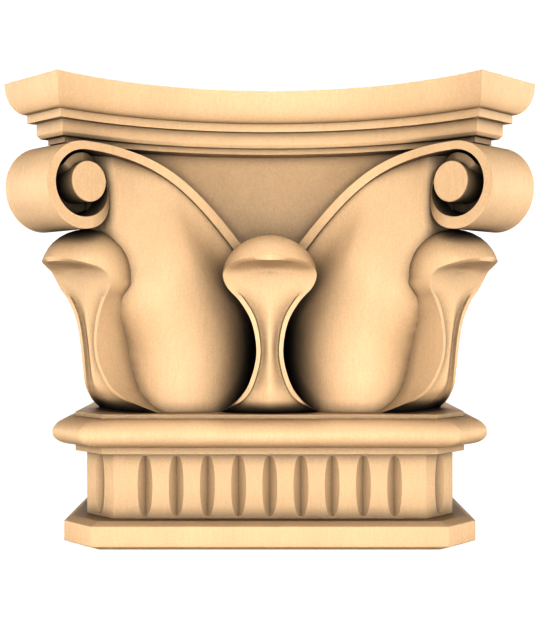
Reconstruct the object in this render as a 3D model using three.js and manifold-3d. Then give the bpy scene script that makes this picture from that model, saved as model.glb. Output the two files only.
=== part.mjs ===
// Carved wooden capital: base block, carved bell with leaves and scrolls, hollow-sided abacus.
// Millimetres, +Z up, origin at the centre of the underside, faces square to X and Y.
import * as THREE from 'three';
import { mergeVertices } from 'three/addons/utils/BufferGeometryUtils.js';
import Module from 'manifold-3d';

const wasm = await Module();
wasm.setup();

// Base block: half-widths of a square with cut corners, and heights from the bottom up
const plinthHalf = 120;
const plinthHeight = 16.2;
const plinthBevelOut = 4.3;
const plinthBevelUp = 2.4;
const dadoHalf = 108.6;
const dadoHeight = 37.8;
const filletHalf = 114.4;
const lowerFilletHeight = 4.1;
const torusHeight = 16.3;
const torusBulge = 11.4;
const upperFilletHeight = 2.4;
const cornerCut = 18.4;

// Gouged flutes of the dado
const flutesPerFace = 9;
const flutePitch = 18;
const fluteHalfWidth = 4.3;
const fluteDepth = 3.4;
const fluteBluntness = 0.35;
const fluteEndMargin = 1.5;

// Bell: the carved middle between the two bearing planes, with its distances from the axis
const bellHeight = 153.8;
const bellWaist = 50;
const bellLip = 64.25;
const bellCorner = 112;
const bellLipUndercut = 8;
const bellFlareHeight = 23;

// Abacus: four arcs hollow its sides, and 45 degree cuts end its horns
const hollowRadius = 142.7;
const hollowNearest = 94.8;
const hornReach = 187.9;
const ovoloHeight = 18;
const ovoloProjection = 8.8;
const abacusFilletHeight = 4.8;
const bandInset = 12.55;
const bandHeight = 6.95;
const bandBevelHeight = 2.05;
const bandBevelIn = 1.6;
const soffitInset = 17.15;
const soffitHeight = 3.3;

// Scroll, upright in the plane through a corner's diagonal: radius and band at each quarter turn from its top
const scrollHalfThickness = 21;
const scrollReach = 165;
const scrollRadii = [24.5, 25.6, 24.4, 20.2, 13.8];
const scrollBands = [4.7, 5.6, 6.8, 4.8];
const eyeRadius = 11.5;
const eyeTurn = 4.8;
const eyeOffset = new THREE.Vector2(-2, 2.2);
const webHalfThickness = 6;

// Ribbon that leaves the scroll: reach from the axis and depth under the bell's top
const ribbonShoulderReach = 115;
const ribbonKneeReach = 86.6;
const ribbonKneeDepth = 16.6;
const ribbonEndReach = 45;
const ribbonEndDepth = 54.9;
const ribbonEndBand = 6.5;

// The ribbon and the side under it stand further out the nearer they come to the bell
const spreadStart = 140;
const spreadEase = 30;
const spreadSlope = 0.5;
const spreadFadeLength = 90;

// Swelling sides: flat under the ribbons, a round lobe below that leans out, a thin neck under the scroll
const swellHalfThickness = 19.5;
const swellRadius = 48;
const swellReach = 77;
const swellLean = 21;
const swellLeanStart = 31;
const swellLeanLength = 48;
const swellFade = 64;
const swellOuterFade = 110;
const swellOuterHalfThickness = 15.5;
const swellOuterStart = 104;
const swellOuterLength = 38;
const swellRibbonShare = 0.97;
const swellSpread = 0.75;
const swellFootStart = 30;
const swellFootReach = 120;
const neckHalfThickness = 5;
const neckStart = 142;
const neckLength = 11;
const neckDepth = 60;
const neckFade = 8;

// Water leaf: its rim from the hood's tip to the foot, as reach, half-width and share of the leaf's height
const leafHeight = 104.3;
const leafRim = [
  [176, 0, 0.86], [170.5, 15, 0.844], [162, 22.8, 0.811], [153.6, 26.5, 0.755], [151.4, 24, 0.692],
  [150.5, 17.3, 0.622], [149.6, 10.8, 0.515], [148.8, 7.9, 0.385], [147, 8.5, 0.278], [142.5, 12.4, 0.158],
  [135.5, 17.5, 0.084], [129, 22.2, 0.042], [120, 28.5, 0],
];
// Middle line of the leaf's hollow, a reach and share of the height for each point of the rim
const leafMiddle = [
  [154.5, 0.775], [154.4, 0.771], [154.1, 0.76], [153.6, 0.733], [153, 0.686], [151.9, 0.62],
  [150.3, 0.515], [148.4, 0.385], [147, 0.278], [144.5, 0.158], [138, 0.084], [133, 0.042], [126, 0],
];
const leafBand = 3.4;
const leafHollow = 2.6;
const hoodHollowShare = 0.3;
const leafRootReach = 100;
const hoodReach = 149;
const hoodHeightShare = 0.755;
const hoodHalfWidth = 27;
const hoodBackLength = 25;
const cornerHoodRise = 27.8;
const centreHoodRise = 23.7;
const hoodUnder = 8;
const hoodUnderReach = 133;
const hoodWallStart = 10;
const hoodWallLength = 20;
const centreLeafSetBack = 34;
const centreLeafFootOut = 12;
const centreLeafFootRise = 22;

// Fineness of the faceted curves
const torusSteps = 4;
const ovoloSteps = 3;
const hollowSegments = 42;
const flareSteps = 5;
const fluteSteps = 6;
const ribbonSteps = 7;
const scrollSteps = 18;
const eyeSteps = 9;
const leafRings = 12;
const leafRingSpread = 1.4;
const hoodShares = [0.3, 0.55, 0.78];
const wallShares = [0.35, 0.7, 0.93];
const leastCosine = 0.15;
const swellColumns = 7;
const swellRows = 5;

// Heights of the bearing planes and of what lies between them
const dadoBottom = plinthHeight;
const dadoTop = dadoBottom + dadoHeight;
const torusBottom = dadoTop + lowerFilletHeight;
const torusTop = torusBottom + torusHeight;
const bellBottom = torusTop + upperFilletHeight;
const bellTop = bellBottom + bellHeight;
const abacusTop = bellTop + soffitHeight + bandBevelHeight + bandHeight + abacusFilletHeight + ovoloHeight;
const hollowCentre = hollowNearest + hollowRadius;
const scrollHeight = bellTop - scrollRadii[0];
const hoodHeight = hoodHeightShare * leafHeight;
const cutClearance = 5;

const quarterTurn = Math.PI / 2;
const eighthTurn = Math.PI / 4;

const pale = new THREE.MeshStandardMaterial({ color: 0xe3b888, roughness: 0.55, metalness: 0 });
const warm = new THREE.MeshStandardMaterial({ color: 0xe8bd8c, roughness: 0.55, metalness: 0 });
const light = new THREE.MeshStandardMaterial({ color: 0xebc292, roughness: 0.55, metalness: 0 });

// Turn a closed three.js geometry into a solid with its faces pointing out
function solid(geometry) {
  const bare = geometry.clone();
  bare.deleteAttribute('normal');
  bare.deleteAttribute('uv');
  const merged = mergeVertices(bare, 1e-4);
  const place = merged.attributes.position.array;
  const index = merged.index.array;
  const faces = [];
  let volume = 0;
  for (let i = 0; i < index.length; i += 3) {
    const [a, b, c] = [index[i], index[i + 1], index[i + 2]];
    if (a === b || b === c || c === a) continue;
    faces.push(a, b, c);
    const p = new THREE.Vector3().fromArray(place, 3 * a);
    const q = new THREE.Vector3().fromArray(place, 3 * b);
    const r = new THREE.Vector3().fromArray(place, 3 * c);
    volume += p.dot(q.cross(r));
  }
  if (volume < 0) faces.reverse();
  return new wasm.Manifold(new wasm.Mesh({
    numProp: 3,
    vertProperties: new Float32Array(place),
    triVerts: new Uint32Array(faces),
  }));
}

function joined(solids) {
  return solids.reduce((whole, next) => whole.add(next));
}

// Each of the four sides, or of the four corners when started an eighth turn on
function fourTimes(geometry, start = 0) {
  const copies = [];
  for (let k = 0; k < 4; k += 1) {
    copies.push(solid(geometry.clone().rotateZ(start + k * quarterTurn)));
  }
  return copies;
}

// Closed upright form turned about +Z from a profile of (radius, height) points
function turned(profile, segments, start = 0) {
  const geometry = new THREE.LatheGeometry(profile, segments, start);
  return geometry.rotateX(quarterTurn);
}

// Square form whose flat sides stand at the profile's distances from the axis
function squareForm(profile, start) {
  const corners = profile.map((p) => new THREE.Vector2(p.x * Math.SQRT2, p.y));
  return solid(turned(corners, 4, start));
}

// Skin over rings of points, each ring closed, with flat strips across the first and last ring
function skin(rings) {
  const count = rings[0].length;
  const points = rings.flat();
  const faces = [];
  for (let i = 0; i + 1 < rings.length; i += 1) {
    for (let j = 0; j < count; j += 1) {
      const a = i * count + j;
      const b = i * count + ((j + 1) % count);
      faces.push(a, b, b + count, a, b + count, a + count);
    }
  }
  const last = (rings.length - 1) * count;
  for (let j = 0; j < count / 2 - 1; j += 1) {
    const [a, b, c, d] = [j, j + 1, count - 2 - j, count - 1 - j];
    faces.push(a, c, b, a, d, c);
    faces.push(last + a, last + b, last + c, last + a, last + c, last + d);
  }
  const geometry = new THREE.BufferGeometry().setFromPoints(points);
  geometry.setIndex(faces);
  return geometry;
}

function smoothstep(x) {
  return THREE.MathUtils.smoothstep(x, 0, 1);
}

function baseProfile() {
  const bevelled = plinthHalf - plinthBevelOut;
  const path = new THREE.Path([new THREE.Vector2(0, 0), new THREE.Vector2(bevelled, 0)]);
  path.lineTo(plinthHalf, plinthBevelUp);
  path.lineTo(plinthHalf, plinthHeight - plinthBevelUp);
  path.lineTo(bevelled, plinthHeight);
  path.lineTo(dadoHalf, dadoBottom);
  path.lineTo(dadoHalf, dadoTop);
  path.lineTo(filletHalf, dadoTop);
  path.lineTo(filletHalf, torusBottom);
  const torusMiddle = torusBottom + torusHeight / 2;
  path.absellipse(filletHalf, torusMiddle, torusBulge, torusHeight / 2, -quarterTurn, quarterTurn, false);
  path.lineTo(filletHalf, bellBottom);
  path.lineTo(0, bellBottom);
  return path.getPoints(torusSteps);
}

// The gouge is a slim lens with a V-shaped section, standing on the dado's face
function fluteCutter() {
  const halfHeight = dadoHeight / 2 - fluteEndMargin;
  const profile = [];
  for (let i = 0; i <= fluteSteps; i += 1) {
    const t = Math.sin((i / fluteSteps - 0.5) * Math.PI);
    const radius = fluteHalfWidth * (1 - t * t) ** fluteBluntness;
    profile.push(new THREE.Vector2(radius, t * halfHeight));
  }
  const gouge = turned(profile, 4).scale(fluteDepth / fluteHalfWidth, 1, 1);
  return gouge.translate(0, 0, dadoBottom + dadoHeight / 2);
}

function base() {
  const profile = baseProfile();
  const acrossCorners = profile.map((p) => (
    new THREE.Vector2(Math.max(0, p.x * Math.SQRT2 - cornerCut / Math.SQRT2), p.y)
  ));
  const block = squareForm(profile, eighthTurn).intersect(squareForm(acrossCorners, 0));
  const cuts = [];
  for (let i = 0; i < flutesPerFace; i += 1) {
    const along = (i - (flutesPerFace - 1) / 2) * flutePitch;
    cuts.push(...fourTimes(fluteCutter().translate(dadoHalf, along, 0)));
  }
  const cornerFace = dadoHalf * Math.SQRT2 - cornerCut / Math.SQRT2;
  cuts.push(...fourTimes(fluteCutter().translate(cornerFace, 0, 0), eighthTurn));
  return block.subtract(joined(cuts));
}

// Mouldings of the abacus, as inset from its outline and height
function abacusProfile() {
  const bandBottom = bellTop + soffitHeight + bandBevelHeight;
  const filletBottom = bandBottom + bandHeight;
  const ovoloBottom = filletBottom + abacusFilletHeight;
  const path = new THREE.Path([new THREE.Vector2(soffitInset, bellTop)]);
  path.lineTo(soffitInset, bellTop + soffitHeight);
  path.lineTo(bandInset + bandBevelIn, bellTop + soffitHeight);
  path.lineTo(bandInset, bandBottom);
  path.lineTo(bandInset, filletBottom);
  path.lineTo(ovoloProjection, filletBottom);
  path.lineTo(ovoloProjection, ovoloBottom);
  path.absellipse(ovoloProjection, abacusTop, ovoloProjection, ovoloHeight, -quarterTurn, -Math.PI, true);
  return path.getPoints(ovoloSteps);
}

// Four turned cutters whose radius grows with the inset hollow the sides
function hollows(profile, radius) {
  const first = profile[0];
  const last = profile[profile.length - 1];
  const below = first.y - cutClearance;
  const above = last.y + cutClearance;
  const outline = [
    new THREE.Vector2(0, below),
    new THREE.Vector2(radius + first.x, below),
    ...profile.map((p) => new THREE.Vector2(radius + p.x, p.y)),
    new THREE.Vector2(radius + last.x, above),
    new THREE.Vector2(0, above),
  ];
  return joined(fourTimes(turned(outline, hollowSegments).translate(hollowCentre, 0, 0)));
}

function abacus() {
  const profile = abacusProfile();
  const horns = profile.map((p) => new THREE.Vector2(hornReach - p.x, p.y));
  horns.unshift(new THREE.Vector2(0, bellTop));
  horns.push(new THREE.Vector2(0, abacusTop));
  return squareForm(horns, 0).subtract(hollows(profile, hollowRadius));
}

// The bell flares from its waist to a lip that follows the abacus
function bellCore() {
  const flare = new THREE.CubicBezierCurve(
    new THREE.Vector2(bellLip - bellWaist, bellBottom),
    new THREE.Vector2(bellLip - bellWaist, bellTop - bellFlareHeight),
    new THREE.Vector2(bellLipUndercut, bellTop - bellFlareHeight),
    new THREE.Vector2(0, bellTop),
  );
  const outline = [[0, bellBottom], [bellCorner, bellBottom], [bellCorner, bellTop], [0, bellTop]];
  const block = squareForm(outline.map(([x, z]) => new THREE.Vector2(x, z)), 0);
  return block.subtract(hollows(flare.getPoints(flareSteps), hollowCentre - bellLip));
}

// Upper edge of the ribbon, from the top of the scroll down to its end behind the centre leaf
function ribbonCurve() {
  return new THREE.CubicBezierCurve(
    new THREE.Vector2(scrollReach, bellTop),
    new THREE.Vector2(ribbonShoulderReach, bellTop),
    new THREE.Vector2(ribbonKneeReach, bellTop - ribbonKneeDepth),
    new THREE.Vector2(ribbonEndReach, bellTop - ribbonEndDepth),
  );
}

// How much further out the ribbon's face stands at a reach
function spreadAt(reach) {
  const inwards = Math.max(0, spreadStart - reach);
  return spreadSlope * (inwards < spreadEase ? inwards ** 2 / (2 * spreadEase) : inwards - spreadEase / 2);
}

// Point of the ribbon moved out by its own spread, so that its course looks the same from the face
function spreadEdge(point) {
  const inwards = spreadStart - point.x;
  if (inwards <= 0) return point;
  const early = (Math.sqrt(1 + (2 * spreadSlope * inwards) / spreadEase) - 1) * (spreadEase / spreadSlope);
  const late = (inwards + (spreadSlope * spreadEase) / 2) / (1 + spreadSlope);
  return new THREE.Vector2(spreadStart - (early < spreadEase ? early : late), point.y);
}

// Value at a place among numbers given at whole steps, smooth between them
function between(numbers, place) {
  const last = numbers.length - 1;
  const k = Math.min(Math.floor(place), last - 1);
  const value = (i) => numbers[THREE.MathUtils.clamp(i, 0, last)];
  const t = place - k;
  const [before, start, end, after] = [value(k - 1), value(k), value(k + 1), value(k + 2)];
  const bend = 2 * before - 5 * start + 4 * end - after;
  return start + 0.5 * t * (end - before + t * (bend + t * (3 * (start - end) + after - before)));
}

function scrollPoint(radius, turns) {
  const angle = quarterTurn * (1 - turns);
  return new THREE.Vector2(scrollReach + radius * Math.cos(angle), scrollHeight + radius * Math.sin(angle));
}

// Ribbon and scroll in one outline: out along the upper edge, round the coil and the eye, and back inside
function scrollOutline() {
  const ribbon = ribbonCurve();
  const upper = [];
  const lower = [];
  for (let i = 0; i < ribbonSteps; i += 1) {
    const t = 1 - i / ribbonSteps;
    const edge = ribbon.getPoint(t);
    const tangent = ribbon.getTangent(t);
    const band = THREE.MathUtils.lerp(scrollBands[0], ribbonEndBand, t);
    const under = new THREE.Vector2(edge.x - tangent.y * band, edge.y + tangent.x * band);
    upper.push(spreadEdge(edge));
    lower.push(spreadEdge(under));
  }
  const coil = [];
  for (let i = 0; i < scrollSteps; i += 1) {
    const turns = (i / scrollSteps) * (scrollRadii.length - 1);
    coil.push(scrollPoint(between(scrollRadii, turns), turns));
  }
  const eyeCentre = new THREE.Vector2(scrollReach, scrollHeight).add(eyeOffset);
  const eye = [];
  for (let i = 0; i <= eyeSteps; i += 1) {
    const angle = quarterTurn - (i / eyeSteps) * eyeTurn;
    eye.push(new THREE.Vector2(Math.cos(angle), Math.sin(angle)).multiplyScalar(eyeRadius).add(eyeCentre));
  }
  const inner = [];
  const innerSteps = Math.round(scrollSteps * (scrollBands.length / scrollRadii.length));
  for (let i = 0; i <= innerSteps; i += 1) {
    const turns = (i / innerSteps) * (scrollBands.length - 1);
    inner.push(scrollPoint(between(scrollRadii, turns) - between(scrollBands, turns), turns));
  }
  return [...upper, ...coil, ...eye, ...inner.reverse(), ...lower.reverse()];
}

function scroll() {
  const options = { depth: 2 * scrollHalfThickness, bevelEnabled: false };
  const band = new THREE.ExtrudeGeometry(new THREE.Shape(scrollOutline()), options);
  band.rotateX(quarterTurn).translate(0, scrollHalfThickness, 0);
  const place = band.attributes.position;
  for (let i = 0; i < place.count; i += 1) {
    const side = place.getY(i);
    place.setY(i, side + Math.sign(side) * spreadAt(place.getX(i)));
  }
  return band;
}

// Thin web that closes the back of the scroll's channel
function web() {
  const radius = scrollRadii[3] - scrollBands[3] / 2;
  const disc = new THREE.CylinderGeometry(radius, radius, 2 * webHalfThickness, scrollSteps);
  return disc.translate(scrollReach, 0, scrollHeight);
}

// Half-thickness of a corner's swelling side: round lobe below, flat under the ribbon, thin at the neck
function swellAt(reach, height, ribbonHeight) {
  const lean = swellLean * smoothstep((height - bellBottom - swellLeanStart) / swellLeanLength);
  const past = reach - swellReach;
  const off = past > 0 ? (past * swellRadius) / (swellRadius + lean) : past;
  const round = Math.sqrt(Math.max(0, swellRadius ** 2 - off ** 2));
  const outer = smoothstep((reach - swellOuterStart) / swellOuterLength);
  const face = THREE.MathUtils.lerp(swellHalfThickness, swellOuterHalfThickness, outer);
  const fade = THREE.MathUtils.lerp(swellFade, swellOuterFade, outer);
  const down = ribbonHeight - height;
  const spread = spreadAt(reach) * (1 - smoothstep(down / spreadFadeLength));
  const half = THREE.MathUtils.lerp(face + spread, round, smoothstep(down / fade));
  const outwards = smoothstep((reach - neckStart) / neckLength);
  const upwards = smoothstep((height - bellTop + neckDepth) / neckFade);
  return Math.max(neckHalfThickness, THREE.MathUtils.lerp(half, neckHalfThickness, outwards * upwards));
}

function swell() {
  const ribbon = ribbonCurve();
  const rings = [];
  for (let i = 0; i <= swellRows; i += 1) {
    const side = [];
    for (let j = 0; j <= swellColumns; j += 1) {
      const across = j / swellColumns;
      const edge = spreadEdge(ribbon.getPoint(1 - swellRibbonShare * across));
      const top = edge.y - scrollBands[0] / 2;
      const height = THREE.MathUtils.lerp(bellBottom, top, i / swellRows);
      const footReach = THREE.MathUtils.lerp(swellFootStart, swellFootReach, across);
      const reach = THREE.MathUtils.lerp(footReach, edge.x, (i / swellRows) ** swellSpread);
      side.push(new THREE.Vector3(reach, swellAt(reach, height, top), height));
    }
    const back = side.map((p) => new THREE.Vector3(p.x, -p.y, p.z)).reverse();
    rings.push([...side, ...back]);
  }
  return skin(rings);
}

// Outside of the hood: an ovoid behind the rim, from the rim over the top to the back
function hoodSide(rim, rise) {
  const up = rim.z - hoodHeight;
  const angle = Math.atan2(up, rim.y);
  const girth = 1 / Math.hypot(Math.cos(angle) / hoodHalfWidth, Math.sin(angle) / rise);
  const start = Math.asin(Math.min(1, Math.hypot(rim.y, up) / girth));
  const front = (rim.x - hoodReach) / Math.max(Math.cos(start), leastCosine);
  const points = hoodShares.map((share) => {
    const turn = THREE.MathUtils.lerp(start, Math.PI, share);
    const out = girth * Math.sin(turn);
    const along = Math.cos(turn) * (turn < quarterTurn ? front : hoodBackLength);
    return new THREE.Vector3(hoodReach + along, out * Math.cos(angle), hoodHeight + out * Math.sin(angle));
  });
  return [...points, new THREE.Vector3(hoodReach - hoodBackLength, 0, hoodHeight)];
}

// Side wall, running back from the rim; under the hood it ends in a rounded corner over the swelling side
function wallSide(rim) {
  const down = hoodHeight - rim.z;
  const under = smoothstep(down / hoodUnder);
  const deeper = smoothstep((down - hoodWallStart) / hoodWallLength);
  const hoodRoot = THREE.MathUtils.lerp(hoodReach - hoodBackLength, hoodUnderReach, under);
  const root = THREE.MathUtils.lerp(hoodRoot, leafRootReach, deeper);
  const power = 2 + 2 * under;
  const points = wallShares.map((share) => {
    const half = rim.y * (1 - share ** power) ** (1 / power);
    return new THREE.Vector3(THREE.MathUtils.lerp(rim.x, root, share), half, rim.z);
  });
  return [...points, new THREE.Vector3(root, 0, rim.z)];
}

// Half of the leaf's ring at a place on the rim, from the hollow's middle line over the rim to the root
function leafSection(place, rise) {
  const [reach, half, share] = [0, 1, 2].map((k) => between(leafRim.map((p) => p[k]), place));
  const [middleReach, middleShare] = [0, 1].map((k) => between(leafMiddle.map((p) => p[k]), place));
  const outer = new THREE.Vector3(reach, half, share * leafHeight);
  const middle = new THREE.Vector3(middleReach, 0, middleShare * leafHeight);
  const hood = smoothstep((share - hoodHeightShare) / (leafRim[0][2] - hoodHeightShare));
  const inner = new THREE.Vector3(reach, Math.max(0, half - leafBand), outer.z - hood * leafBand / 2);
  const valley = middle.clone().lerp(inner, 0.5);
  valley.x -= leafHollow * (1 - hood) + hoodHollowShare * hood * (inner.x - middle.x);
  const outside = outer.z > hoodHeight ? hoodSide(outer, rise) : wallSide(outer);
  return [middle, valley, inner, outer, ...outside];
}

// The centre leaves are set back, with their feet drawn forward again
function leaf(setBack, footOut, rise) {
  const rings = [];
  for (let i = 0; i <= leafRings; i += 1) {
    const place = (leafRim.length - 1) * (i / leafRings) ** leafRingSpread;
    const half = leafSection(place, rise);
    half.forEach((p) => {
      p.x += footOut * smoothstep(1 - p.z / centreLeafFootRise) - setBack;
    });
    const other = half.map((p) => new THREE.Vector3(p.x, -p.y, p.z)).reverse();
    rings.push([...half, ...other]);
  }
  return skin(rings).translate(0, 0, bellBottom);
}

function bell() {
  const parts = [bellCore()];
  for (const form of [scroll(), web(), swell(), leaf(0, 0, cornerHoodRise)]) {
    parts.push(...fourTimes(form, eighthTurn));
  }
  parts.push(...fourTimes(leaf(centreLeafSetBack, centreLeafFootOut, centreHoodRise)));
  return joined(parts);
}

function named(name, form, material) {
  const mesh = form.getMesh();
  const geometry = new THREE.BufferGeometry();
  geometry.setAttribute('position', new THREE.BufferAttribute(mesh.vertProperties, 3));
  geometry.setIndex(new THREE.BufferAttribute(mesh.triVerts, 1));
  geometry.computeVertexNormals();
  const piece = new THREE.Mesh(geometry, material);
  piece.name = name;
  return piece;
}

const capital = new THREE.Group();
capital.add(named('base', base(), pale));
capital.add(named('bell', bell(), warm));
capital.add(named('abacus', abacus(), light));

export default capital;
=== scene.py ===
import math

import bmesh
import bpy
import numpy as np
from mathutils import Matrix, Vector


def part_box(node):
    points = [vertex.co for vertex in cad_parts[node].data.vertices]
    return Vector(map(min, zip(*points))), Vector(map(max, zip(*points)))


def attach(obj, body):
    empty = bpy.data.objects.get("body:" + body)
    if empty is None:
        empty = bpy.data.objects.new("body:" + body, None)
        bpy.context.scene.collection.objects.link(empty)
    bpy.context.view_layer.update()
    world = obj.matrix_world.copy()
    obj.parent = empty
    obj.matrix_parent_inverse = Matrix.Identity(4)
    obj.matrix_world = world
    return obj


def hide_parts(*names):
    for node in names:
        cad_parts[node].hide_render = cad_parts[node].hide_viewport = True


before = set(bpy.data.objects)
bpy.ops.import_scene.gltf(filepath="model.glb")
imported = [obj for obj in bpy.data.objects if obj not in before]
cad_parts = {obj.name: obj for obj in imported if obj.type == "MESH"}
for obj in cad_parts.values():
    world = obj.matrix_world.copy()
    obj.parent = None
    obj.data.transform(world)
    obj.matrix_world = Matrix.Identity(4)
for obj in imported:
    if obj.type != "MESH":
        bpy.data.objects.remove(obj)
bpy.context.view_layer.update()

# Everything below is worked out in millimetres and turned into metres when a mesh is made
MM = 0.001
QUARTER = math.pi / 2
EIGHTH = math.pi / 4

# Heights of the bell and of the top, from the frame
BELL_BOTTOM, BELL_TOP = (corner[2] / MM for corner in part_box("bell"))
ABACUS_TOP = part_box("abacus")[1][2] / MM

# Base block
PLINTH_HALF = 120
PLINTH_HEIGHT = 16.2
PLINTH_BEVEL_OUT = 4.3
PLINTH_BEVEL_UP = 2.4
DADO_HALF = 108.6
DADO_HEIGHT = 37.8
FILLET_HALF = 114.4
LOWER_FILLET_HEIGHT = 4.1
TORUS_HEIGHT = 16.3
TORUS_BULGE = 11.4
CORNER_CUT = 18.4
FLUTES_PER_FACE = 9
FLUTE_PITCH = 18
FLUTE_HALF_WIDTH = 4.3
FLUTE_DEPTH = 3.4
FLUTE_BLUNTNESS = 0.7
FLUTE_END_MARGIN = 1.5
MOULDING_EASE = 0.35
CORNER_EASE = 0.5

# Abacus
HOLLOW_RADIUS = 142.7
HOLLOW_NEAREST = 94.8
HOLLOW_CENTRE = HOLLOW_NEAREST + HOLLOW_RADIUS
HORN_REACH = 187.9
OVOLO_HEIGHT = 18
OVOLO_PROJECTION = 8.8
ABACUS_FILLET_HEIGHT = 4.8
BAND_INSET = 12.55
BAND_HEIGHT = 6.95
BAND_BEVEL_HEIGHT = 2.05
BAND_BEVEL_IN = 1.6
SOFFIT_INSET = 17.15
SOFFIT_HEIGHT = 3.3

# Bell
BELL_WAIST = 50
BELL_LIP = 64.25
LIP_UNDERCUT = 8
FLARE_HEIGHT = 23

# Scroll and ribbon
SCROLL_HALF = 21
SCROLL_REACH = 165
SCROLL_RADII = [24.5, 25.6, 24.4, 20.2, 13.8]
SCROLL_BANDS = [4.7, 5.6, 6.8, 4.8]
# Quarter turns of the coil, counted from its top, and how its face sinks on the inner side
COIL_TURNS = 3.35
COIL_INNER_TURN = 3
COIL_INNER_LENGTH = 0.85
COIL_INNER_BAND = 6
COIL_BAND_AFTER = 7
COIL_SINK_START = 2.1
COIL_SINK_LENGTH = 0.9
COIL_SINK_OUTER = 7
COIL_SINK_INNER = 1.5
SCROLL_HEIGHT = BELL_TOP - SCROLL_RADII[0]
EYE_RADIUS = 11.5
EYE_OFFSET = (-2, 2.2)
EYE_EASE = 0.4
WEB_HALF = 4.5
WEB_RADIUS = 16.5
WEB_RISE_START = 0.15
WEB_RISE = 0.5
WEB_RISE_END = 3.1
WEB_SINK = 1.7
WEB_LIP = 1
WEB_CORE_SHARE = 0.3
WEB_STEPS = 144
SHOULDER_REACH = 115
KNEE_REACH = 86.6
KNEE_DEPTH = 16.6
END_REACH = 45
END_DEPTH = 54.9
END_BAND = 6.5
# The ribbon and the side under it stand further out the nearer they come to the bell
SPREAD_START = 140
SPREAD_EASE = 30
SPREAD_SLOPE = 0.5
SPREAD_FADE = 90

# Swelling sides
SWELL_HALF = 19.5
SWELL_RADIUS = 48
SWELL_REACH = 77
SWELL_LEAN = 21
SWELL_LEAN_START = 31
SWELL_LEAN_LENGTH = 48
SWELL_FADE = 64
SWELL_OUTER_FADE = 110
SWELL_OUTER_HALF = 15.5
SWELL_OUTER_START = 104
SWELL_OUTER_LENGTH = 38
SWELL_RIBBON_SHARE = 0.97
SWELL_SPREAD = 0.75
SWELL_FOOT_START = 30
SWELL_FOOT_REACH = 120
NECK_HALF = 5
NECK_START = 142
NECK_LENGTH = 11
NECK_DEPTH = 60
NECK_FADE = 8

# Leaf: rim as reach, half-width and share of the leaf's height, and the middle line of its hollow
LEAF_HEIGHT = 104.3
LEAF_RIM = [
    (176, 0, 0.86), (170.5, 15, 0.844), (162.2, 22.8, 0.815), (157.2, 25.5, 0.791), (154, 26.5, 0.755),
    (151.6, 24, 0.692), (150.5, 17.3, 0.622), (149.6, 10.8, 0.515), (148.8, 7.9, 0.385), (147, 8.5, 0.278),
    (142.5, 12.4, 0.158), (135.5, 17.5, 0.084), (129, 22.2, 0.042), (120, 28.5, 0),
]
LEAF_MIDDLE = [
    (154.5, 0.775), (154.4, 0.771), (154.2, 0.763), (153.9, 0.75), (153.5, 0.733), (152.9, 0.69),
    (151.9, 0.622), (150.3, 0.515), (148.4, 0.385), (147, 0.278), (144.5, 0.158), (138, 0.084),
    (133, 0.042), (126, 0),
]
# Width of the leaf's flat rim at the same stations
LEAF_BANDS = [2.6, 2.7, 2.9, 3, 3.1, 3.1, 2.9, 2.7, 2.5, 2.5, 2.6, 2.4, 2, 1.2]
LEAF_HOLLOW = 2.2
HOLLOW_FAN_START = 58
HOLLOW_FAN_LENGTH = 18
HOLLOW_POWER = 3
HOLLOW_EDGE = 0.8
HOLLOW_SOFT_LENGTH = 20
FOOT_START = 2
FOOT_LENGTH = 12
LEAF_ROOT_REACH = 100
LEAF_RING_SPREAD = 1.3
HOOD_REACH = 149
HOOD_SHARE = 0.755
HOOD_HALF_WIDTH = 27
HOOD_BACK_LENGTH = 25
HOOD_UNDER = 8
HOOD_UNDER_REACH = 133
HOOD_RIM_LEAN = 0.3
WALL_START = 10
WALL_LENGTH = 20
CENTRE_SET_BACK = 34
CENTRE_FOOT_OUT = 12
CENTRE_FOOT_RISE = 22
HOOD_HEIGHT = HOOD_SHARE * LEAF_HEIGHT
CORNER_HOOD_RISE = 27.8
CENTRE_HOOD_RISE = 23.7

WOOD_COLOUR = (0.64, 0.475, 0.31)

# Even light of the studio: its strength level with the capital and overhead, and the heights between which it
# fades, as the sine of the angle; then the strength that the camera sees
AMBIENT = 1.08
AMBIENT_ABOVE = 0.08
AMBIENT_FADE = (0.1, 0.85)
BACKDROP = 1.05
# Soft lamps: name, place in metres, width and power
LAMPS = (
    ("front_light", (0, -2, 0.14), 0.8, 44),
    ("left_light", (-2, 0.4, 0.3), 0.8, 16),
    ("right_light", (2, 0.4, 0.3), 0.8, 16),
    ("back_light", (0, 2, 0.3), 0.8, 34),
    ("top_light", (0, 0, 2), 0.5, 12),
)
LAMP_TARGET = (0, 0, 0.14)
FLOOR_REACH = 12
FLOOR_SHADE = 0.6
FLOOR_GLOW = 1.15
FLOOR_GLOW_SHARE = 0.86
VIEW_GAMMA = 0.65

# Camera, as the photograph's viewing point
CAMERA_DISTANCE = 728
CAMERA_HEIGHT = 136
IMAGE_WIDTH, IMAGE_HEIGHT = 537, 622
FOCAL_PIXELS = 1073.6
AXIS_COLUMN = 269.8
SENSOR = 36


def smoothstep(x):
    x = np.clip(x, 0, 1)
    return x * x * (3 - 2 * x)


def between(numbers, place, mirrored=0):
    """Value at a place among numbers given at whole steps, smooth between them."""
    numbers = np.asarray(numbers, float)
    place = np.asarray(place, float)
    before = numbers[0] if mirrored == 0 else mirrored * numbers[1]
    padded = np.concatenate([[before], numbers, [numbers[-1]]])
    k = np.minimum(np.floor(place).astype(int), len(numbers) - 2)
    t = place - k
    a, b, c, d = padded[k], padded[k + 1], padded[k + 2], padded[k + 3]
    return b + 0.5 * t * (c - a + t * (2 * a - 5 * b + 4 * c - d + t * (3 * (b - c) + d - a)))


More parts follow.
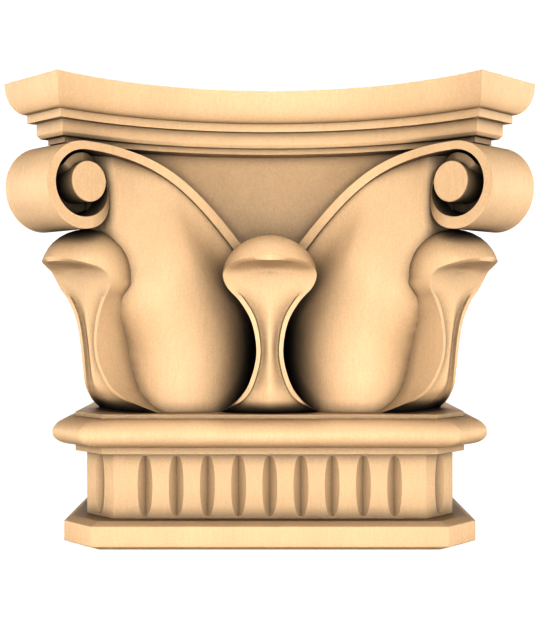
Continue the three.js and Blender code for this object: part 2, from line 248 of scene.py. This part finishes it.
def bezier(points, t):
    p0, p1, p2, p3 = (np.asarray(p, float) for p in points)
    t = np.asarray(t, float)[..., None]
    return (1 - t) ** 3 * p0 + 3 * t * (1 - t) ** 2 * p1 + 3 * t ** 2 * (1 - t) * p2 + t ** 3 * p3


def new_mesh(name, points, faces):
    mesh = bpy.data.meshes.new(name)
    mesh.from_pydata((np.asarray(points) * MM).tolist(), [], faces)
    piece = bpy.data.objects.new(name, mesh)
    bpy.context.scene.collection.objects.link(piece)
    return piece


def closed(piece):
    """Merges doubled points, drops flat faces and turns all faces outwards."""
    work = bmesh.new()
    work.from_mesh(piece.data)
    bmesh.ops.remove_doubles(work, verts=work.verts, dist=1e-4 * MM)
    bmesh.ops.dissolve_degenerate(work, edges=work.edges, dist=1e-5 * MM)
    bmesh.ops.recalc_face_normals(work, faces=work.faces)
    work.to_mesh(piece.data)
    work.free()
    return piece


def skin(name, rings, strips=True):
    """Closed mesh over rings of points; the end rings are closed by strips across or by one face each."""
    rings = np.asarray(rings, float)
    count = rings.shape[1]
    faces = []
    for i in range(len(rings) - 1):
        low, high = i * count, (i + 1) * count
        for j in range(count):
            k = (j + 1) % count
            faces.append((low + j, low + k, high + k, high + j))
    last = (len(rings) - 1) * count
    if strips:
        for j in range(count // 2 - 1):
            a, b, c, d = j, j + 1, count - 2 - j, count - 1 - j
            faces.append((d, c, b, a))
            faces.append((last + a, last + b, last + c, last + d))
    else:
        faces.append(tuple(range(count))[::-1])
        faces.append(tuple(last + j for j in range(count)))
    return closed(new_mesh(name, rings.reshape(-1, 3), faces))


def turned_copy(piece, angle):
    copy = piece.copy()
    copy.data = piece.data.copy()
    bpy.context.scene.collection.objects.link(copy)
    cos, sin = math.cos(angle), math.sin(angle)
    flat = np.zeros(len(copy.data.vertices) * 3)
    copy.data.vertices.foreach_get("co", flat)
    x, y, z = flat.reshape(-1, 3).T
    points = np.stack([cos * x - sin * y, sin * x + cos * y, z], -1)
    copy.data.vertices.foreach_set("co", points.ravel())
    copy.data.update()
    return copy


def four_times(piece, start=0):
    copies = [turned_copy(piece, start + k * QUARTER) for k in range(4)]
    bpy.data.objects.remove(piece)
    return copies


def combine(whole, others, operation):
    """Joins others to whole, or cuts them out of it."""
    for other in others:
        step = whole.modifiers.new("combine", "BOOLEAN")
        step.operation = operation
        step.solver = "MANIFOLD"
        step.object = other
    bpy.context.view_layer.update()
    result = bpy.data.meshes.new_from_object(whole.evaluated_get(bpy.context.evaluated_depsgraph_get()))
    whole.modifiers.clear()
    whole.data = result
    for other in others:
        bpy.data.objects.remove(other)
    return whole


def smooth_by_angle(piece, degrees):
    piece.data.shade_smooth()
    work = bmesh.new()
    work.from_mesh(piece.data)
    limit = math.radians(degrees)
    for edge in work.edges:
        edge.smooth = edge.calc_face_angle(0) < limit
    work.to_mesh(piece.data)
    work.free()


def eased(points, radius, steps=3):
    """Outline with each corner rounded by a small arc."""
    points = [np.asarray(p, float) for p in points]
    result = [points[0]]
    for before, corner, after in zip(points, points[1:], points[2:]):
        a, b = before - corner, after - corner
        length_a, length_b = np.linalg.norm(a), np.linalg.norm(b)
        turn = np.dot(a, b) / (length_a * length_b)
        if turn < -0.95:
            result.append(corner)
            continue
        cut = min(radius, 0.45 * length_a, 0.45 * length_b)
        start, end = corner + a / length_a * cut, corner + b / length_b * cut
        for t in np.linspace(0, 1, steps + 1):
            result.append((1 - t) ** 2 * start + 2 * t * (1 - t) * corner + t ** 2 * end)
    result.append(points[-1])
    return result


# Base

def base_profile():
    dado_top = PLINTH_HEIGHT + DADO_HEIGHT
    torus_bottom = dado_top + LOWER_FILLET_HEIGHT
    torus_middle = torus_bottom + TORUS_HEIGHT / 2
    bevelled = PLINTH_HALF - PLINTH_BEVEL_OUT
    torus = [
        (FILLET_HALF + TORUS_BULGE * math.cos(a), torus_middle + TORUS_HEIGHT / 2 * math.sin(a))
        for a in np.linspace(-QUARTER, QUARTER, 25)
    ]
    return eased([
        (bevelled, 0), (PLINTH_HALF, PLINTH_BEVEL_UP), (PLINTH_HALF, PLINTH_HEIGHT - PLINTH_BEVEL_UP),
        (bevelled, PLINTH_HEIGHT), (DADO_HALF, PLINTH_HEIGHT), (DADO_HALF, dado_top), (FILLET_HALF, dado_top),
        *torus, (FILLET_HALF, BELL_BOTTOM),
    ], MOULDING_EASE)


def cut_square(half, height, cut):
    """Square with cut corners, each of its eight corners slightly eased."""
    side = half - cut
    corners = []
    for k in range(4):
        cos, sin = round(math.cos(k * QUARTER)), round(math.sin(k * QUARTER))
        for x, y in ((half, -side), (half, side)):
            corners.append((cos * x - sin * y, sin * x + cos * y))
    looped = [corners[-1], *corners, corners[0]]
    return [(x, y, height) for x, y in eased(looped, CORNER_EASE, 2)[1:-1]]


def flute_cutter():
    """Slim elliptical gouge with a V-shaped section, standing across the dado's face."""
    half_height = DADO_HEIGHT / 2 - FLUTE_END_MARGIN
    middle = PLINTH_HEIGHT + DADO_HEIGHT / 2
    rings = []
    for a in np.linspace(-QUARTER, QUARTER, 41):
        out = max(math.cos(a), 1e-3) ** FLUTE_BLUNTNESS
        half, deep = FLUTE_HALF_WIDTH * out, FLUTE_DEPTH * out
        z = middle + half_height * math.sin(a)
        rings.append([(deep, 0, z), (0, half, z), (-deep, 0, z), (0, -half, z)])
    return rings


def make_base():
    rings = [cut_square(half, height, CORNER_CUT) for half, height in base_profile()]
    base = skin("base_block", rings, strips=False)
    cuts = []
    gouge = np.array(flute_cutter())
    for i in range(FLUTES_PER_FACE):
        along = (i - (FLUTES_PER_FACE - 1) / 2) * FLUTE_PITCH
        cuts += four_times(skin("gouge", gouge + (DADO_HALF, along, 0), strips=False))
    corner_face = DADO_HALF * math.sqrt(2) - CORNER_CUT / math.sqrt(2)
    cuts += four_times(skin("gouge", gouge + (corner_face, 0, 0), strips=False), EIGHTH)
    return combine(base, cuts, "DIFFERENCE")


# Abacus

def abacus_outline(inset, height):
    """Four concave arcs between cut horns, all set in by the inset."""
    radius = HOLLOW_RADIUS + inset
    reach = HORN_REACH - inset
    # Where the arc meets the horn's end: x + y = reach * sqrt 2
    a, b = reach * math.sqrt(2), HOLLOW_CENTRE
    # x = a - y and (x - b)^2 + y^2 = radius^2
    half = (a - b) / 2
    y = half + math.sqrt(radius ** 2 / 2 - half ** 2)
    last = math.asin(y / radius)
    ring = []
    for k in range(4):
        cos, sin = math.cos(k * QUARTER), math.sin(k * QUARTER)
        for angle in np.linspace(-last, last, 61):
            x, y = b - radius * math.cos(angle), radius * math.sin(angle)
            ring.append((cos * x - sin * y, sin * x + cos * y, height))
    return ring


def make_abacus():
    soffit_top = BELL_TOP + SOFFIT_HEIGHT
    band_bottom = soffit_top + BAND_BEVEL_HEIGHT
    fillet_bottom = band_bottom + BAND_HEIGHT
    ovolo_bottom = fillet_bottom + ABACUS_FILLET_HEIGHT
    ovolo = [
        (OVOLO_PROJECTION * (1 - math.sin(a)), ABACUS_TOP - OVOLO_HEIGHT * math.cos(a))
        for a in np.linspace(0, QUARTER, 17)
    ]
    profile = eased([
        (SOFFIT_INSET, BELL_TOP), (SOFFIT_INSET, soffit_top), (BAND_INSET + BAND_BEVEL_IN, soffit_top),
        (BAND_INSET, band_bottom), (BAND_INSET, fillet_bottom), (OVOLO_PROJECTION, fillet_bottom),
        (OVOLO_PROJECTION, ovolo_bottom), *ovolo[1:],
    ], MOULDING_EASE)
    return skin("abacus_slab", [abacus_outline(inset, height) for inset, height in profile], strips=False)


# Bell

def make_core():
    """Bell that flares from its waist to a lip that follows the abacus."""
    radius = HOLLOW_CENTRE - BELL_LIP
    flare = bezier([
        (BELL_LIP - BELL_WAIST, BELL_BOTTOM),
        (BELL_LIP - BELL_WAIST, BELL_TOP - FLARE_HEIGHT),
        (LIP_UNDERCUT, BELL_TOP - FLARE_HEIGHT),
        (0, BELL_TOP),
    ], np.linspace(0, 1, 33))
    rings = []
    for inset, height in flare:
        ring = []
        arc = radius + inset
        meet = (HOLLOW_CENTRE - math.sqrt(2 * arc ** 2 - HOLLOW_CENTRE ** 2)) / 2
        last = math.asin(meet / arc)
        for k in range(4):
            cos, sin = math.cos(k * QUARTER), math.sin(k * QUARTER)
            for angle in np.linspace(-last, last, 41)[:-1]:
                x, y = HOLLOW_CENTRE - arc * math.cos(angle), arc * math.sin(angle)
                ring.append((cos * x - sin * y, sin * x + cos * y, height))
        rings.append(ring)
    return skin("bell_core", rings, strips=False)


def ribbon_points(t):
    return bezier([
        (SCROLL_REACH, BELL_TOP), (SHOULDER_REACH, BELL_TOP),
        (KNEE_REACH, BELL_TOP - KNEE_DEPTH), (END_REACH, BELL_TOP - END_DEPTH),
    ], t)


def spread_at(reach):
    """How much further out the ribbon's face stands at a reach."""
    inwards = np.maximum(0, SPREAD_START - np.asarray(reach, float))
    early = inwards ** 2 / (2 * SPREAD_EASE)
    return SPREAD_SLOPE * np.where(inwards < SPREAD_EASE, early, inwards - SPREAD_EASE / 2)


def spread_edge(edge):
    """Line of the ribbon moved outwards by its own spread, so that it keeps its course in the face's view."""
    inwards = np.maximum(0, SPREAD_START - edge[:, 0])
    early = (np.sqrt(1 + 2 * SPREAD_SLOPE * inwards / SPREAD_EASE) - 1) * SPREAD_EASE / SPREAD_SLOPE
    late = (inwards + SPREAD_SLOPE * SPREAD_EASE / 2) / (1 + SPREAD_SLOPE)
    moved = SPREAD_START - np.where(early < SPREAD_EASE, early, late)
    return np.stack([np.where(inwards > 0, moved, edge[:, 0]), edge[:, 1]], -1)


def scroll_points(radii, turns):
    angle = QUARTER * (1 - np.asarray(turns))
    return np.stack([SCROLL_REACH + radii * np.cos(angle), SCROLL_HEIGHT + radii * np.sin(angle)], -1)


def make_scroll():
    """Ribbon and coil: a flat band that follows the spiral, its face sinking on the coil's inner side."""
    t = np.linspace(1, 0, 41)[:-1]
    edge = ribbon_points(t)
    step = ribbon_points(np.clip(t - 1e-3, 0, 1)) - ribbon_points(np.clip(t + 1e-3, 0, 1))
    step /= np.linalg.norm(step, axis=1)[:, None]
    band = SCROLL_BANDS[0] + (END_BAND - SCROLL_BANDS[0]) * t
    under = edge + np.stack([step[:, 1], -step[:, 0]], -1) * band[:, None]
    turns = np.linspace(0, COIL_TURNS, 130)
    radii = between(SCROLL_RADII, turns)
    bands = between([*SCROLL_BANDS, COIL_BAND_AFTER], turns)
    last_turns = COIL_INNER_TURN, COIL_INNER_TURN + COIL_INNER_LENGTH
    last_bands = SCROLL_BANDS[COIL_INNER_TURN], COIL_INNER_BAND
    bands = np.where(turns < COIL_INNER_TURN, bands, np.interp(turns, last_turns, last_bands))
    outer = scroll_points(radii, turns)
    inner = scroll_points(radii - bands, turns)
    outer = np.concatenate([spread_edge(edge), outer])
    inner = np.concatenate([spread_edge(under), inner])
    place = np.concatenate([np.zeros(len(edge)), turns])
    sink = smoothstep((place - COIL_SINK_START) / COIL_SINK_LENGTH)
    rings = []
    for (ox, oz), (ix, iz), sunk, turn in zip(outer, inner, sink, place):
        spread = turn < 0.01
        oy = SCROLL_HALF - COIL_SINK_OUTER * sunk + spread * spread_at(ox)
        iy = SCROLL_HALF - COIL_SINK_INNER * sunk + spread * spread_at(ix)
        rings.append([(ox, oy, oz), (ix, iy, iz), (ix, -iy, iz), (ox, -oy, oz)])
    return skin("scroll", rings, strips=False)


def eye_circle(radius, side, steps):
    """Ring round the middle of the scroll's eye; side is how far it stands from the corner's diagonal."""
    angles = np.linspace(0, 2 * math.pi, steps + 1)[:-1]
    reach = SCROLL_REACH + EYE_OFFSET[0] + radius * np.cos(angles)
    height = SCROLL_HEIGHT + EYE_OFFSET[1] + radius * np.sin(angles)
    return np.stack([reach, np.broadcast_to(side, steps), height], -1)


def make_eye():
    """Round block across the corner's diagonal plane, its two rims slightly eased."""
    small = EYE_RADIUS - EYE_EASE
    flat = SCROLL_HALF - EYE_EASE
    sides = ((small, -SCROLL_HALF), (EYE_RADIUS, -flat), (EYE_RADIUS, flat), (small, SCROLL_HALF))
    return skin("eye", [eye_circle(radius, side, 72) for radius, side in sides], strips=False)


def make_web():
    """Floor of the scroll's channel: deep round the outside of the eye, rising to the eye over its top."""
    angles = np.linspace(0, 2 * math.pi, WEB_STEPS + 1)[:-1]
    rise = smoothstep((angles - WEB_RISE_START) / WEB_RISE) * smoothstep((WEB_RISE_END - angles) / WEB_SINK)
    half = WEB_HALF + (SWELL_OUTER_HALF + WEB_LIP - WEB_HALF) * rise
    small = WEB_RADIUS * WEB_CORE_SHARE
    sides = (
        (small, -WEB_HALF), (small, -half), (WEB_RADIUS, -half),
        (WEB_RADIUS, half), (small, half), (small, WEB_HALF),
    )
    return skin("web", [eye_circle(radius, side, WEB_STEPS) for radius, side in sides], strips=False)


def swell_half(reach, height, ribbon_height):
    """Half-thickness of a corner's side: a round lobe, flat under the ribbon, thin at the neck."""
    lean = SWELL_LEAN * smoothstep((height - BELL_BOTTOM - SWELL_LEAN_START) / SWELL_LEAN_LENGTH)
    off = reach - SWELL_REACH
    off = np.where(off > 0, off * SWELL_RADIUS / (SWELL_RADIUS + lean), off)
    lobe = np.sqrt(np.maximum(0, SWELL_RADIUS ** 2 - off ** 2))
    outer = smoothstep((reach - SWELL_OUTER_START) / SWELL_OUTER_LENGTH)
    face = SWELL_HALF + (SWELL_OUTER_HALF - SWELL_HALF) * outer
    fade = SWELL_FADE + (SWELL_OUTER_FADE - SWELL_FADE) * outer
    down = ribbon_height - height
    face = face + spread_at(reach) * (1 - smoothstep(down / SPREAD_FADE))
    half = face + (lobe - face) * smoothstep(down / fade)
    neck = smoothstep((reach - NECK_START) / NECK_LENGTH)
    neck = neck * smoothstep((height - BELL_TOP + NECK_DEPTH) / NECK_FADE)
    return np.maximum(NECK_HALF, half + (NECK_HALF - half) * neck)


def make_swell():
    across = np.linspace(0, 1, 61)
    edge = spread_edge(ribbon_points(1 - SWELL_RIBBON_SHARE * across))
    top = edge[:, 1] - SCROLL_BANDS[0] / 2
    foot = SWELL_FOOT_START + (SWELL_FOOT_REACH - SWELL_FOOT_START) * across
    rings = []
    for share in np.linspace(0, 1, 49):
        height = BELL_BOTTOM + (top - BELL_BOTTOM) * share
        reach = foot + (edge[:, 0] - foot) * share ** SWELL_SPREAD
        half = swell_half(reach, height, top)
        side = np.stack([reach, half, height], -1)
        back = np.stack([reach, -half, height], -1)[::-1]
        rings.append(np.concatenate([side, back]))
    return skin("swell", rings)


def hood_side(rim, rise, count):
    """Outside of the hood: an ovoid behind the rim, from the rim over the top to the back."""
    reach, half, height = rim
    up = height - HOOD_HEIGHT
    angle = math.atan2(up, half)
    girth = 1 / math.hypot(math.cos(angle) / HOOD_HALF_WIDTH, math.sin(angle) / rise)
    start = math.asin(min(1, math.hypot(half, up) / girth))
    front = (reach - HOOD_REACH) / max(math.cos(start), 0.15)
    turn = start + (math.pi - start) * np.linspace(0, 1, count + 1)[1:]
    out = girth * np.sin(turn)
    out[-1] = 0
    along = np.cos(turn) * np.where(turn < QUARTER, front, HOOD_BACK_LENGTH)
    return np.stack([HOOD_REACH + along, out * math.cos(angle), HOOD_HEIGHT + out * math.sin(angle)], -1)


def wall_side(rim, count):
    """Side wall, running back from the rim; under the hood it ends in a rounded corner."""
    reach, half, height = rim
    down = HOOD_HEIGHT - height
    under = smoothstep(down / HOOD_UNDER)
    deeper = smoothstep((down - WALL_START) / WALL_LENGTH)
    root = HOOD_REACH - HOOD_BACK_LENGTH
    root += (HOOD_UNDER_REACH - root) * under
    root += (LEAF_ROOT_REACH - root) * deeper
    power = 2 + 2 * under
    widest = HOOD_REACH + (reach - HOOD_REACH) * deeper
    full = half + (HOOD_HALF_WIDTH - LEAF_RIM[4][1]) * (1 - under)
    # Steps that start quick and grow slow towards the root; the first quarter of the easing is skipped
    t = 0.25 + 0.75 * np.linspace(0, 1, count + 1)[1:]
    r = reach + (root - reach) * (0.5 - 0.5 * np.cos(np.pi * t) - 0.1464) / 0.8536
    back = np.clip((widest - r) / (widest - root), 0, 1)
    side = full * (1 - back ** power) ** (1 / power)
    towards_rim = np.maximum(0, r - widest) / max(reach - widest, 1e-6)
    side = np.where(r > widest, half + (full - half) * (1 - towards_rim), side)
    side[-1] = 0
    return np.stack([r, side, np.full(count, height)], -1)


def rim_at(place):
    """Point of the leaf's outer edge: reach, half-width and height over the foot."""
    reach, half, share = ([p[k] for p in LEAF_RIM] for k in range(3))
    return np.array([
        between(reach, place, 1), between(half, place, -1), between(share, place, 1) * LEAF_HEIGHT,
    ])


def leaf_section(place, rise):
    """Half of the leaf's ring at a place on the rim, from the hollow's middle over the rim to the root."""
    outer = rim_at(place)
    last = len(LEAF_RIM) - 1
    along = rim_at(min(place + 0.01, last)) - rim_at(max(place - 0.01, 0))
    if place < 0.01:
        along = np.array([0, 1, 0])
    inwards = np.array([0, along[2], -along[1]]) / math.hypot(along[1], along[2])
    band = between(LEAF_BANDS, place, 1)
    hood = smoothstep((outer[2] - HOOD_HEIGHT) / (LEAF_RIM[0][2] * LEAF_HEIGHT - HOOD_HEIGHT))
    inwards[2] *= smoothstep((outer[2] - FOOT_START) / FOOT_LENGTH)
    middle_reach, middle_share = (between([p[k] for p in LEAF_MIDDLE], place, 1) for k in range(2))
    centre = np.array([middle_reach, 0, middle_share * LEAF_HEIGHT])
    to_centre = (centre - outer) * (0, 1, 1)
    near_hood = smoothstep((outer[2] - HOLLOW_FAN_START) / HOLLOW_FAN_LENGTH)
    inwards = inwards + near_hood * (to_centre / np.linalg.norm(to_centre) - inwards)
    inner = outer + band * inwards - (HOOD_RIM_LEAN * hood * band, 0, 0)
    t = np.linspace(0, 1, 17)[:-1]
    floor = centre + (inner - centre) * t[:, None]
    floor[:, 0] = centre[0] + (inner[0] - centre[0]) * t ** (1 + (HOLLOW_POWER - 1) * near_hood)
    past_edge = np.maximum(0, t - HOLLOW_EDGE) / (1 - HOLLOW_EDGE)
    dip = smoothstep(t / HOLLOW_EDGE) * np.sqrt(1 - past_edge ** 2)
    soft = smoothstep((HOOD_HEIGHT - outer[2]) / HOLLOW_SOFT_LENGTH)
    floor[:, 0] -= LEAF_HOLLOW * (1 - hood) * soft * dip
    outside = hood_side(outer, rise, 18) if outer[2] > HOOD_HEIGHT else wall_side(outer, 18)
    return np.concatenate([floor, [inner], [outer], outside])


def make_leaf(set_back, foot_out, rise):
    rings = []
    for u in np.linspace(0, 1, 73):
        half = leaf_section((len(LEAF_RIM) - 1) * u ** LEAF_RING_SPREAD, rise)
        other = (half * (1, -1, 1))[::-1]
        ring = np.concatenate([half, other])
        ring[:, 0] += foot_out * smoothstep(1 - ring[:, 2] / CENTRE_FOOT_RISE) - set_back
        rings.append(ring + (0, 0, BELL_BOTTOM))
    return skin("leaf", rings)


def make_bell():
    parts = []
    for form in (make_scroll(), make_eye(), make_web(), make_swell(), make_leaf(0, 0, CORNER_HOOD_RISE)):
        parts += four_times(form, EIGHTH)
    parts += four_times(make_leaf(CENTRE_SET_BACK, CENTRE_FOOT_OUT, CENTRE_HOOD_RISE))
    return combine(make_core(), parts, "UNION")


# Finish

def add_node(tree, kind, **values):
    """New shader node; values are its own settings or, where it has none of that name, its inputs."""
    node = tree.nodes.new(kind)
    for name, value in values.items():
        if hasattr(node, name):
            setattr(node, name, value)
        else:
            node.inputs[name.replace("_", " ")].default_value = value
    return node


def noise(tree, coordinates, stretch, scale, detail, low, high):
    """Noise from low to high, drawn out along Z by the stretch."""
    mapping = add_node(tree, "ShaderNodeMapping", Scale=(1, 1, stretch))
    tree.links.new(coordinates, mapping.inputs["Vector"])
    texture = add_node(tree, "ShaderNodeTexNoise", Scale=scale, Detail=detail, Roughness=0.6)
    tree.links.new(mapping.outputs["Vector"], texture.inputs["Vector"])
    spread = add_node(tree, "ShaderNodeMapRange")
    for name, value in (("From Min", 0.3), ("From Max", 0.7), ("To Min", low), ("To Max", high)):
        spread.inputs[name].default_value = value
    tree.links.new(texture.outputs["Fac"], spread.inputs["Value"])
    return spread.outputs["Result"]


def product(tree, first, second):
    node = add_node(tree, "ShaderNodeMath", operation="MULTIPLY")
    tree.links.new(first, node.inputs[0])
    tree.links.new(second, node.inputs[1])
    return node.outputs["Value"]


def painted_occlusion_shade(tree, distance, power, own=False):
    """Share of open space round a point, to a power, used as painted shade: the colour darkens in the hollows
    of the carving.

    With own set, only the piece itself counts and not its neighbours.
    """
    hollow = add_node(tree, "ShaderNodeAmbientOcclusion", samples=3, only_local=own, Distance=distance)
    node = add_node(tree, "ShaderNodeMath", operation="POWER")
    tree.links.new(hollow.outputs["AO"], node.inputs[0])
    node.inputs[1].default_value = power
    return node.outputs["Value"]


def wood_material():
    """Pale close-grained wood with an upright fibre, a fine pore and painted shade in the hollows."""
    material = bpy.data.materials.new("carved_wood")
    material.use_nodes = True
    tree = material.node_tree
    shader = tree.nodes["Principled BSDF"]
    shader.inputs["Specular IOR Level"].default_value = 0.2
    place = tree.nodes.new("ShaderNodeTexCoord").outputs["Object"]
    growth = noise(tree, place, stretch=0.1, scale=26, detail=3, low=0.965, high=1.035)
    fibre = noise(tree, place, stretch=0.12, scale=700, detail=4, low=0.965, high=1.03)
    pore = noise(tree, place, stretch=0.7, scale=1500, detail=2, low=0.93, high=1.05)
    shade = product(tree, product(tree, growth, fibre), pore)
    # Painted shade: occlusion at three distances darkens the colour in creases, recesses and inner-facing
    # walls
    near = painted_occlusion_shade(tree, distance=0.008, power=0.8)
    middling = painted_occlusion_shade(tree, distance=0.02, power=0.3)
    shade = product(tree, shade, product(tree, near, middling))
    shade = product(tree, shade, painted_occlusion_shade(tree, distance=0.07, power=0.6, own=True))
    colour = add_node(tree, "ShaderNodeVectorMath", operation="SCALE")
    colour.inputs[0].default_value = WOOD_COLOUR
    tree.links.new(shade, colour.inputs["Scale"])
    tree.links.new(colour.outputs["Vector"], shader.inputs["Base Color"])
    dullness = noise(tree, place, stretch=0.2, scale=300, detail=3, low=0.5, high=0.68)
    tree.links.new(dullness, shader.inputs["Roughness"])
    bump = add_node(tree, "ShaderNodeBump", Strength=0.35, Distance=0.0002)
    tree.links.new(product(tree, fibre, pore), bump.inputs["Height"])
    tree.links.new(bump.outputs["Normal"], shader.inputs["Normal"])
    return material


def place_piece(piece, name, node, material, degrees):
    piece.name = name
    piece.data.name = name
    piece.data.materials.clear()
    piece.data.materials.append(material)
    smooth_by_angle(piece, degrees)
    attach(piece, "root")
    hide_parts(node)


def add_floor():
    """Plain pale floor, as bright to the camera as the backdrop."""
    corners = [(x * FLOOR_REACH, y * FLOOR_REACH, 0) for x, y in ((-1, -1), (1, -1), (1, 1), (-1, 1))]
    mesh = bpy.data.meshes.new("floor")
    mesh.from_pydata(corners, [], [(0, 1, 2, 3)])
    floor = bpy.data.objects.new("floor", mesh)
    bpy.context.scene.collection.objects.link(floor)
    floor.visible_shadow = False
    material = bpy.data.materials.new("floor")
    material.use_nodes = True
    tree = material.node_tree
    shader = tree.nodes["Principled BSDF"]
    shader.inputs["Base Color"].default_value = (FLOOR_SHADE, FLOOR_SHADE, FLOOR_SHADE, 1)
    shader.inputs["Roughness"].default_value = 0.9
    glow = add_node(tree, "ShaderNodeEmission", Strength=FLOOR_GLOW)
    seen = add_node(tree, "ShaderNodeMath", operation="MULTIPLY")
    tree.links.new(tree.nodes.new("ShaderNodeLightPath").outputs["Is Camera Ray"], seen.inputs[0])
    seen.inputs[1].default_value = FLOOR_GLOW_SHARE
    mix = tree.nodes.new("ShaderNodeMixShader")
    tree.links.new(seen.outputs["Value"], mix.inputs["Fac"])
    tree.links.new(shader.outputs["BSDF"], mix.inputs[1])
    tree.links.new(glow.outputs["Emission"], mix.inputs[2])
    tree.links.new(mix.outputs["Shader"], tree.nodes["Material Output"].inputs["Surface"])
    mesh.materials.append(material)


def add_camera():
    data = bpy.data.cameras.new("camera")
    data.sensor_width = SENSOR
    data.lens = SENSOR * FOCAL_PIXELS / IMAGE_HEIGHT
    data.shift_x = (IMAGE_WIDTH / 2 - AXIS_COLUMN) / IMAGE_HEIGHT
    camera = bpy.data.objects.new("camera", data)
    camera.location = (0, -CAMERA_DISTANCE * MM, CAMERA_HEIGHT * MM)
    camera.rotation_euler = (QUARTER, 0, 0)
    bpy.context.scene.collection.objects.link(camera)
    bpy.context.scene.camera = camera


def add_light(name, location, size, power):
    data = bpy.data.lights.new(name, "AREA")
    data.shape = "DISK"
    data.size = size
    data.energy = power
    light = bpy.data.objects.new(name, data)
    light.location = location
    light.rotation_euler = (Vector(LAMP_TARGET) - Vector(location)).to_track_quat("-Z", "Y").to_euler()
    bpy.context.scene.collection.objects.link(light)


def add_lights():
    """White backdrop, an even light all round that fades upwards, and soft lamps on every side."""
    world = bpy.data.worlds.new("studio")
    world.use_nodes = True
    tree = world.node_tree
    backdrop = tree.nodes["Background"]
    backdrop.inputs["Color"].default_value = (1, 1, 1, 1)
    height = tree.nodes.new("ShaderNodeSeparateXYZ")
    tree.links.new(tree.nodes.new("ShaderNodeTexCoord").outputs["Generated"], height.inputs["Vector"])
    steep = add_node(tree, "ShaderNodeMath", operation="ABSOLUTE")
    tree.links.new(height.outputs["Z"], steep.inputs[0])
    around = add_node(tree, "ShaderNodeMapRange", interpolation_type="SMOOTHSTEP")
    around.inputs["From Min"].default_value, around.inputs["From Max"].default_value = AMBIENT_FADE
    around.inputs["To Min"].default_value = AMBIENT
    around.inputs["To Max"].default_value = AMBIENT_ABOVE
    tree.links.new(steep.outputs["Value"], around.inputs["Value"])
    strength = add_node(tree, "ShaderNodeMapRange")
    strength.inputs["To Max"].default_value = BACKDROP
    tree.links.new(around.outputs["Result"], strength.inputs["To Min"])
    tree.links.new(tree.nodes.new("ShaderNodeLightPath").outputs["Is Camera Ray"], strength.inputs["Value"])
    tree.links.new(strength.outputs["Result"], backdrop.inputs["Strength"])
    bpy.context.scene.world = world
    for lamp in LAMPS:
        add_light(*lamp)
    bpy.context.scene.view_settings.view_transform = "Standard"
    bpy.context.scene.view_settings.gamma = VIEW_GAMMA


add_camera()
wood = wood_material()
place_piece(make_base(), "base_carved", "base", wood, 30)
place_piece(make_abacus(), "abacus_moulded", "abacus", wood, 30)
place_piece(make_bell(), "bell_carved", "bell", wood, 40)
add_floor()
add_lights()
